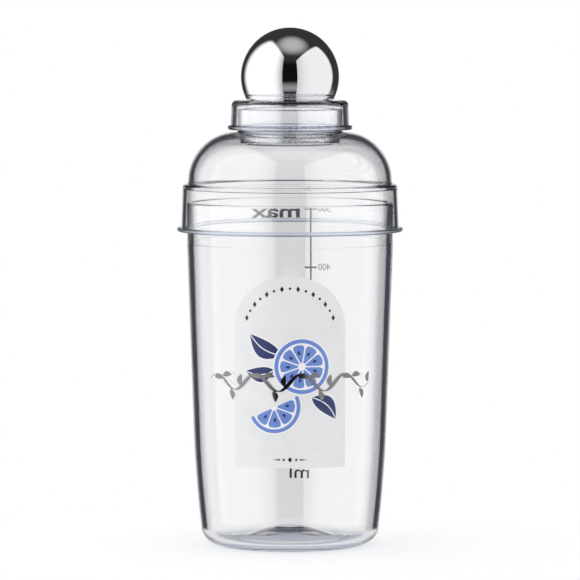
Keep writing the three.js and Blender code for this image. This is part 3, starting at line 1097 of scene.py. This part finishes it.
class SHAKER_OT_front_print(bpy.types.Operator):
    """Print the pale panel, the fruit wheels and the garland on the front of the cup"""

    bl_idname = "shaker.front_print"
    bl_label = "Front print"

    panel_grid = (56, 100)
    arch_share = 0.35
    whole = (4.6 * MM, 73.2 * MM)
    halved = (-6.2 * MM, 57.6 * MM)
    halved_start = math.radians(205)
    segments = 9
    core_share = 0.14
    segment_gap = 0.55 * MM
    pip_root, pip_tip = 0.42, 0.6
    pip_half = 0.5 * MM
    leaf_rib = 0.45 * MM
    leaves = (
        ((-3.5 * MM, 77.5 * MM), (-15.8 * MM, 85.6 * MM), 3.4 * MM),
        ((-6.2 * MM, 71.6 * MM), (-17.6 * MM, 71.2 * MM), 2.9 * MM),
        ((8.6 * MM, 61.2 * MM), (18.4 * MM, 52.6 * MM), 3.3 * MM),
    )
    bead_count = 15
    bead_reach = math.radians(68)
    bead_radius = 0.5 * MM
    bead_diamond = (0.75 * MM, 1.2 * MM)
    mark_diamond = (0.8 * MM, 1.1 * MM)
    mark_dot_place, mark_dot_radius = 2.4 * MM, 0.45 * MM
    dash_start, dash_run, dash_half = 3.8 * MM, 3.2 * MM, 0.32 * MM
    dash_steps = 6
    garland_steps = 240
    garland_fade = 0.35
    garland_thin, garland_swell = 0.14 * MM, 0.6 * MM
    leaves_per_swing = 4
    garland_leaf_half = 0.24
    fade_power, taper_power = 3, 4
    look_ahead = 0.01
    foil_haze = (0.1, 0.2)

    def execute(self, context):
        self.sizes = context.scene.shaker_print
        self.wall = cup_sides(context.scene.shaker_cup)[0]
        finishes = context.scene.shaker_finish
        white = ink("white_ink", finishes.white_ink)
        blue = ink("blue_ink", finishes.blue_ink)
        navy = ink("navy_ink", finishes.navy_ink)
        self.add_film("print_panel", self.panel, ink("panel_ink", finishes.panel_ink), 0)
        self.add_film("print_leaf_edges", self.leaf_edges, white, 1)
        self.add_film("print_leaves", self.leaf_blades, navy, 2)
        self.add_film("print_wheel_edges", self.wheel_edges, white, 3)
        self.add_film("print_rinds", self.rinds, blue, 4)
        self.add_film("print_flesh", self.flesh, blue, 4)
        self.add_film("print_pips", self.pips, navy, 5)
        self.add_film("print_beads", self.beads, ink("black_ink", finishes.black_ink), 1)
        foil = metal("stamped_foil", finishes.foil, *self.foil_haze)
        self.add_film("print_garland", self.garland, foil, 6)
        return {"FINISHED"}

    def add_film(self, name, draw, material, layer):
        """Piece from a function that draws on a flat print."""
        flat = bmesh.new()
        draw(flat)
        add_piece(name, wrap_print(flat, layer, self.wall), material, "cup")

    def wheels(self):
        """Centre, radius, start and end of each fruit wheel."""
        yield self.whole, self.sizes.wheel_radius, 0.0, TURN
        yield self.halved, self.sizes.half_radius, self.halved_start, self.halved_start + math.pi

    def panel(self, flat):
        sizes = self.sizes

        def place(s, t):
            rise = max(0, (t - 1 + self.arch_share) / self.arch_share) * math.pi / 2
            straight = min(1, t / (1 - self.arch_share))
            height = sizes.panel_bottom + (sizes.panel_spring - sizes.panel_bottom) * straight
            height += (sizes.panel_top - sizes.panel_spring) * math.sin(rise)
            return (2 * s - 1) * sizes.panel_half * math.cos(rise), height

        add_patch(flat, place, *self.panel_grid)

    def leaf_edges(self, flat):
        for root, tip, half_width in self.leaves:
            add_leaf(flat, root, tip, half_width, grow=self.sizes.edge)

    def leaf_blades(self, flat):
        for root, tip, half_width in self.leaves:
            add_leaf(flat, root, tip, half_width, rib=self.leaf_rib)

    def wheel_edges(self, flat):
        for centre, radius, start, end in self.wheels():
            add_sector(flat, centre, 0, radius + self.sizes.edge, start, end)

    def rinds(self, flat):
        for centre, radius, start, end in self.wheels():
            add_sector(flat, centre, radius * self.sizes.rim_share, radius, start, end)

    def flesh(self, flat):
        half_angle = math.pi / self.segments
        for centre, radius, start, end in self.wheels():
            count = round((end - start) / (2 * half_angle))
            step = (end - start) / count
            inner, outer = self.core_share * radius, radius * self.sizes.flesh_share
            for i in range(count):
                angle = start + (i + 0.5) * step
                add_flesh(flat, centre, inner, outer, angle, step / 2, self.segment_gap)

    def pips(self, flat):
        for centre, radius, start, end in self.wheels():
            count = round(self.segments / 2 * (end - start) / math.pi)
            for i in range(count):
                angle = start + (i + 0.5) * (end - start) / count
                ahead = Vector((math.cos(angle), math.sin(angle)))
                root = Vector(centre) + ahead * (self.pip_root * radius)
                tip = Vector(centre) + ahead * (self.pip_tip * radius)
                add_leaf(flat, root, tip, self.pip_half)

    def beads(self, flat):
        sizes = self.sizes
        for i in range(self.bead_count):
            angle = self.bead_reach * (2 * i / (self.bead_count - 1) - 1)
            arc = sizes.bead_arch_half * math.sin(angle)
            height = sizes.bead_arch_foot + sizes.bead_arch_rise * math.cos(angle)
            if i % 2:
                add_sector(flat, (arc, height), 0, self.bead_radius)
            else:
                add_diamond(flat, (arc, height), *self.bead_diamond)
        foot = sizes.foot_mark_height
        add_diamond(flat, (0, foot), *self.mark_diamond)
        for side in (-1, 1):
            add_sector(flat, (side * self.mark_dot_place, foot), 0, self.mark_dot_radius)
            add_ribbon(
                flat,
                lambda t, side=side: (side * (self.dash_start + self.dash_run * t), foot),
                lambda t: self.dash_half * (1 - t),
                self.dash_steps,
            )

    def garland(self, flat):
        sizes = self.sizes

        def line(t):
            arc = (2 * t - 1) * sizes.garland_half
            swing = math.sin(TURN * arc / sizes.garland_period)
            fade = 1 - self.garland_fade * abs(2 * t - 1) ** self.fade_power
            return arc, sizes.garland_height + sizes.garland_wave * swing * fade

        def half_width(t):
            arc = (2 * t - 1) * sizes.garland_half
            taper = 1 - abs(2 * t - 1) ** self.taper_power
            steepness = abs(math.cos(TURN * arc / sizes.garland_period))
            return (self.garland_thin + self.garland_swell * steepness) * taper

        add_ribbon(flat, line, half_width, self.garland_steps)
        swings = 2 * sizes.garland_half / sizes.garland_period
        leaves = round(self.leaves_per_swing * swings)
        for i in range(leaves):
            t = (i + 0.5) / leaves
            ahead = (Vector(line(t + self.look_ahead)) - Vector(line(t))).normalized()
            turn = sizes.garland_turn if i % 2 else -sizes.garland_turn
            outward = Matrix.Rotation(turn, 2) @ ahead
            root = Vector(line(t)) + outward * sizes.garland_gap
            tip = root + outward * sizes.garland_leaf
            add_leaf(flat, root, tip, self.garland_leaf_half * sizes.garland_leaf)


class SHAKER_OT_volume_scale(bpy.types.Operator):
    """Print the scale of volumes on the back of the cup"""

    bl_idname = "shaker.volume_scale"
    bl_label = "Volume scale"

    def execute(self, context):
        scene = context.scene
        sizes = scene.shaker_scale
        outside, inside = cup_sides(scene.shaker_cup)
        thin = sizes.line_half
        left, right = sizes.line_place - thin, sizes.line_place + thin
        flat = bmesh.new()
        add_bar(flat, (left, sizes.line_bottom), (right, sizes.top_mark - thin))
        for volume, height in self.mark_heights(sizes, inside).items():
            for side in (-1, 1):
                near = sizes.line_place + side * thin
                far = sizes.line_place + side * sizes.tick_half
                add_bar(flat, (min(near, far), height - thin), (max(near, far), height + thin))
            foot = height - sizes.numeral_drop
            add_words(flat, str(volume), (sizes.numeral_place, foot), sizes.numeral_height, "RIGHT")
        add_bar(flat, (left, sizes.top_mark - thin), (right, sizes.top_mark + thin))
        limit_foot = sizes.top_mark - sizes.limit_drop
        add_words(
            flat, "max", (sizes.limit_place, limit_foot), sizes.limit_height,
            weight=sizes.limit_weight, stretch=sizes.limit_stretch,
        )
        add_words(
            flat, "ml", (sizes.unit_place, sizes.unit_bottom), sizes.unit_height,
            weight=sizes.unit_weight, stretch=sizes.unit_stretch,
        )
        film = wrap_print(flat, 0, outside, math.pi)
        black = ink("black_ink", scene.shaker_finish.black_ink)
        add_piece("volume_scale", film, black, "cup")
        return {"FINISHED"}

    def mark_heights(self, sizes, inside):
        """Height of each mark, where the cup holds one step less than at the mark above."""
        heights = {sizes.top_volume: sizes.top_mark}
        height = sizes.top_mark
        for volume in range(sizes.top_volume - int(sizes.step_volume), 0, -int(sizes.step_volume)):
            poured = 0
            while poured < sizes.step_volume * MILLILITRE:
                poured += math.pi * radius_at(inside, height) ** 2 * VOLUME_STEP
                height -= VOLUME_STEP
            heights[volume] = height
        return heights


class SHAKER_OT_stage(bpy.types.Operator):
    """Set up the camera, the light panels, the white surround and the pale floor"""

    bl_idname = "shaker.stage"
    bl_label = "Stage"

    sensor_width = 36
    # Angles in the surround are counted from straight behind the shaker.
    backdrop_angles = (math.radians(12), math.radians(20))
    front_angles = (math.radians(166), math.radians(171))
    gap_angles = (math.radians(150), math.radians(160))
    # Rises are heights on a ball of radius one.
    backdrop_rises = (0.1, 0.25)
    below_rises = (-0.42, -0.25)
    gap_rises = (0.45, 0.7)
    table_far_rises = (-0.42, -0.12)
    table_near_rises = (-0.62, -0.46)
    gap_depth = 0.85
    overhead_place = (0.07, -0.13, 0.99)
    overhead_spread = math.radians(44)
    overhead_power = 3.0
    # Surfaces that a ray has met, as limits between two whole numbers.
    one_met, cup_crossed, walls_nested = 0.5, 3.5, 6.5
    tint_reach = 4
    floor_rings = 40
    floor_fade = (0.3, 0.9)
    glimpse_fade = 1.4
    shade_core = 0.8

    def execute(self, context):
        scene = context.scene
        self.settings = scene.shaker_stage
        self.add_camera(scene)
        self.add_lights(scene)
        self.add_surround(scene)
        self.add_floor(scene)
        scene.view_settings.view_transform = "Standard"
        scene.cycles.max_bounces = 32
        scene.cycles.transmission_bounces = 28
        scene.cycles.transparent_max_bounces = 32
        scene.cycles.caustics_refractive = False
        scene.cycles.caustics_reflective = False
        return {"FINISHED"}

    def add_camera(self, scene):
        settings = self.settings
        data = bpy.data.cameras.new("camera")
        data.lens = settings.lens
        data.sensor_width = self.sensor_width
        camera = bpy.data.objects.new("camera", data)
        camera.location = (0, -settings.camera_distance, settings.camera_height)
        aim = Vector((0, 0, settings.aim_height)) - camera.location
        camera.rotation_euler = aim.to_track_quat("-Z", "Y").to_euler()
        scene.collection.objects.link(camera)
        scene.camera = camera

    def add_lights(self, scene):
        settings = self.settings
        self.add_panel(
            scene, "left_light", -1, settings.left_far, settings.left_top,
            settings.left_soft, settings.left_glow, settings.left_dim,
        )
        self.add_panel(
            scene, "right_light", 1, settings.right_far, settings.right_top,
            settings.right_soft, settings.right_glow, settings.right_dim,
        )

    def add_panel(self, scene, name, side, far, top, soft, glow, dim):
        """Soft light panel at one side of the shaker, itself out of the camera's sight."""
        settings = self.settings
        x = side * settings.panel_distance
        near = settings.panel_near
        highest = top - settings.panel_slope * near + soft
        mesh = bpy.data.meshes.new(name)
        mesh.from_pydata([
            (x, near, settings.panel_bottom),
            (x, far + soft, settings.panel_bottom),
            (x, far + soft, highest),
            (x, near, highest),
        ], [], [(0, 1, 2, 3)])
        mesh.materials.append(self.panel_material(name, far, top, soft, glow, dim))
        panel = bpy.data.objects.new(name, mesh)
        panel.visible_camera = False
        scene.collection.objects.link(panel)

    def panel_material(self, name, far, top, soft, glow, dim):
        """Light with faded edges that dims towards the near end. Straight rays see the backdrop."""
        settings = self.settings
        near = settings.panel_near
        material, tree, output, coordinates = new_material(name)
        rays = tree.nodes.new("ShaderNodeLightPath").outputs
        parts = separate(tree, coordinates)
        along = parts["Y"]
        near_edge = smooth_range(tree, along, near, near + soft, 0, 1)
        far_edge = smooth_range(tree, along, far - soft, far + soft, 1, 0)
        level = maths(tree, "ADD", parts["Z"], maths(tree, "MULTIPLY", along, settings.panel_slope))
        top_edge = smooth_range(tree, level, top - soft, top + soft, 1, 0)
        lit = maths(tree, "MULTIPLY", near_edge, far_edge, top_edge)
        gradient = smooth_range(tree, along, near, settings.dim_end, dim * glow, glow)
        level_share = choose(tree, rays["Is Glossy Ray"], settings.plain_share, 1.0)
        strength = maths(tree, "MULTIPLY", gradient, level_share)
        unreflected = maths(tree, "LESS_THAN", rays["Glossy Depth"], self.one_met)
        straight = maths(tree, "MULTIPLY", rays["Is Transmission Ray"], unreflected)
        strength = choose(tree, straight, strength, settings.backdrop)
        light = make_node(tree, "ShaderNodeEmission", Strength=strength)
        unlit = tree.nodes.new("ShaderNodeBsdfTransparent")
        blend = mix_shaders(tree, lit, unlit.outputs["BSDF"], light.outputs["Emission"])
        tree.links.new(blend, output.inputs["Surface"])
        return material

    def add_surround(self, scene):
        """World that is white to the camera, pale through clear plastic and dim in reflections."""
        settings = self.settings
        world = bpy.data.worlds.new("surround")
        world.use_nodes = True
        tree = world.node_tree
        tree.nodes.clear()
        rays = tree.nodes.new("ShaderNodeLightPath").outputs
        direction = tree.nodes.new("ShaderNodeTexCoord").outputs["Generated"]
        parts = separate(tree, direction)
        height = parts["Z"]
        azimuth = maths(tree, "ABSOLUTE", maths(tree, "ARCTAN2", parts["X"], parts["Y"]))

        # What stands round the shaker.
        low = smooth_range(tree, height, *self.backdrop_rises, settings.backdrop, 0)
        behind = smooth_range(tree, azimuth, *self.backdrop_angles, 1, 0)
        backdrop = maths(tree, "MULTIPLY", behind, low)
        before = smooth_range(tree, azimuth, *self.front_angles, 0, settings.backdrop)
        below = smooth_range(tree, height, *self.below_rises, settings.backdrop, 0)
        table = maths(
            tree, "MINIMUM",
            smooth_range(tree, height, *self.table_far_rises, settings.table, 0),
            smooth_range(tree, height, *self.table_near_rises, 0, settings.table),
        )
        front = smooth_range(tree, azimuth, *self.gap_angles, 0, 1)
        under = smooth_range(tree, height, *self.gap_rises, self.gap_depth, 0)
        gap = maths(tree, "MULTIPLY", front, under)
        dark = maths(tree, "MULTIPLY", settings.dark, maths(tree, "SUBTRACT", 1.0, gap))
        studio = maths(tree, "MAXIMUM", backdrop, self.overhead(tree, direction), table, dark)

        # What each kind of ray sees of it.
        through = maths(tree, "MAXIMUM", backdrop, below, before, settings.dim)
        crossed = maths(tree, "GREATER_THAN", rays["Transmission Depth"], self.cup_crossed)
        through = choose(tree, crossed, through, maths(tree, "MAXIMUM", through, low))
        within = maths(tree, "MAXIMUM", studio, settings.dim)
        nested = maths(tree, "GREATER_THAN", rays["Transmission Depth"], self.walls_nested)
        scattered = maths(tree, "MULTIPLY", low, settings.scatter_share)
        within = choose(tree, nested, within, maths(tree, "MAXIMUM", within, scattered))
        reflected = maths(tree, "GREATER_THAN", rays["Glossy Depth"], self.one_met)
        bent = choose(tree, reflected, through, within)
        glow = choose(tree, rays["Is Glossy Ray"], settings.fill, studio)
        glow = choose(tree, rays["Is Transmission Ray"], glow, bent)
        glow = choose(tree, rays["Is Camera Ray"], glow, 1.0)

        dimness = smooth_range(tree, glow, settings.dim, self.tint_reach * settings.dim, 1, 0)
        blue = maths(tree, "MULTIPLY", rays["Is Transmission Ray"], dimness)
        tint = mix_colours(tree, blue, WHITE, settings.dim_tint)
        background = make_node(tree, "ShaderNodeBackground", Color=tint, Strength=glow)
        output = tree.nodes.new("ShaderNodeOutputWorld")
        tree.links.new(background.outputs["Background"], output.inputs["Surface"])
        scene.world = world

    def overhead(self, tree, direction):
        """Soft round light almost straight above, a little towards the camera."""
        place = Vector(self.overhead_place).normalized()
        towards = vector_maths(tree, "DOT_PRODUCT", direction, place)
        nearness = smooth_range(tree, towards, math.cos(self.overhead_spread), 1, 0, 1)
        shape = maths(tree, "POWER", nearness, self.overhead_power)
        return maths(tree, "MULTIPLY", shape, self.settings.top_glow)

    def add_floor(self, scene):
        settings = self.settings
        radii = [settings.floor_radius * i / self.floor_rings for i in range(self.floor_rings + 1)]
        shape = lathe([Vector((radius, -settings.floor_drop)) for radius in radii])
        mesh = bpy.data.meshes.new("floor")
        shape.to_mesh(mesh)
        shape.free()
        mesh.materials.append(self.floor_material())
        floor = bpy.data.objects.new("floor", mesh)
        scene.collection.objects.link(floor)

    def floor_material(self):
        """Pale floor that keeps the shadow, fades into the surround and is white through the base, but
        for a painted shadow under the cone.
        """
        settings = self.settings
        material, tree, output, coordinates = new_material("pale_floor")
        rays = tree.nodes.new("ShaderNodeLightPath").outputs
        distance = vector_maths(tree, "LENGTH", coordinates)
        fade_range = [part * settings.floor_radius for part in self.floor_fade]
        fade = smooth_range(tree, distance, *fade_range, 0, 1)
        paper = make_node(tree, "ShaderNodeBsdfDiffuse", Color=(*settings.floor_colour, 1))
        lift = make_node(tree, "ShaderNodeEmission", Strength=settings.floor_lift)
        lit = make_node(tree, "ShaderNodeAddShader", paper.outputs["BSDF"], lift.outputs["Emission"])
        white = make_node(tree, "ShaderNodeEmission", Strength=1.0)
        plain = mix_shaders(tree, fade, lit.outputs["Shader"], white.outputs["Emission"])

        # Painted shadow: a blue-grey patch under the cup's cone, set back from the axis, in the white
        # that glossy and transmission rays see.
        shade_middle = (0, settings.shade_place, -settings.floor_drop)
        from_shade = vector_maths(tree, "DISTANCE", coordinates, shade_middle)
        shade_start = self.shade_core * settings.shade_radius
        beside = smooth_range(tree, from_shade, shade_start, settings.shade_radius, 0, 1)
        painted_shadow_colour = mix_colours(tree, beside, settings.shade, WHITE)
        glow = make_node(tree, "ShaderNodeEmission", Color=painted_shadow_colour, Strength=settings.backdrop)
        open_air = tree.nodes.new("ShaderNodeBsdfTransparent")
        glimpse_end = self.glimpse_fade * settings.glimpse_radius
        apart = smooth_range(tree, distance, settings.glimpse_radius, glimpse_end, 0, 1)
        glimpse = mix_shaders(tree, apart, glow.outputs["Emission"], open_air.outputs["BSDF"])

        bent = maths(tree, "MAXIMUM", rays["Is Glossy Ray"], rays["Is Transmission Ray"])
        tree.links.new(mix_shaders(tree, bent, plain, glimpse), output.inputs["Surface"])
        return material


class VIEW3D_PT_shaker(bpy.types.Panel):
    """Sidebar list of the shaker's pieces"""

    bl_label = "Cocktail shaker"
    bl_space_type = "VIEW_3D"
    bl_region_type = "UI"
    bl_category = "Shaker"

    def draw(self, context):
        for operator in OPERATORS:
            self.layout.operator(operator.bl_idname)


SETTINGS = {
    "shaker_cup": CupSizes,
    "shaker_lid": LidSizes,
    "shaker_strainer": StrainerSizes,
    "shaker_cap": CapSizes,
    "shaker_ball": BallSizes,
    "shaker_print": PrintSizes,
    "shaker_scale": ScaleSizes,
    "shaker_finish": Finishes,
    "shaker_stage": StageSettings,
}
OPERATORS = (
    SHAKER_OT_cup,
    SHAKER_OT_lid,
    SHAKER_OT_cap,
    SHAKER_OT_ball,
    SHAKER_OT_front_print,
    SHAKER_OT_volume_scale,
    SHAKER_OT_stage,
)


def register():
    for name, group in SETTINGS.items():
        bpy.utils.register_class(group)
        setattr(bpy.types.Scene, name, PointerProperty(type=group))
    for operator in OPERATORS:
        bpy.utils.register_class(operator)
    bpy.utils.register_class(VIEW3D_PT_shaker)


def unregister():
    bpy.utils.unregister_class(VIEW3D_PT_shaker)
    for operator in reversed(OPERATORS):
        bpy.utils.unregister_class(operator)
    for name, group in reversed(SETTINGS.items()):
        delattr(bpy.types.Scene, name)
        bpy.utils.unregister_class(group)


def main():
    register()
    bpy.ops.shaker.cup()
    bpy.ops.shaker.lid()
    bpy.ops.shaker.cap()
    bpy.ops.shaker.ball()
    bpy.ops.shaker.front_print()
    bpy.ops.shaker.volume_scale()
    bpy.ops.shaker.stage()


if __name__ == "__main__":
    main()
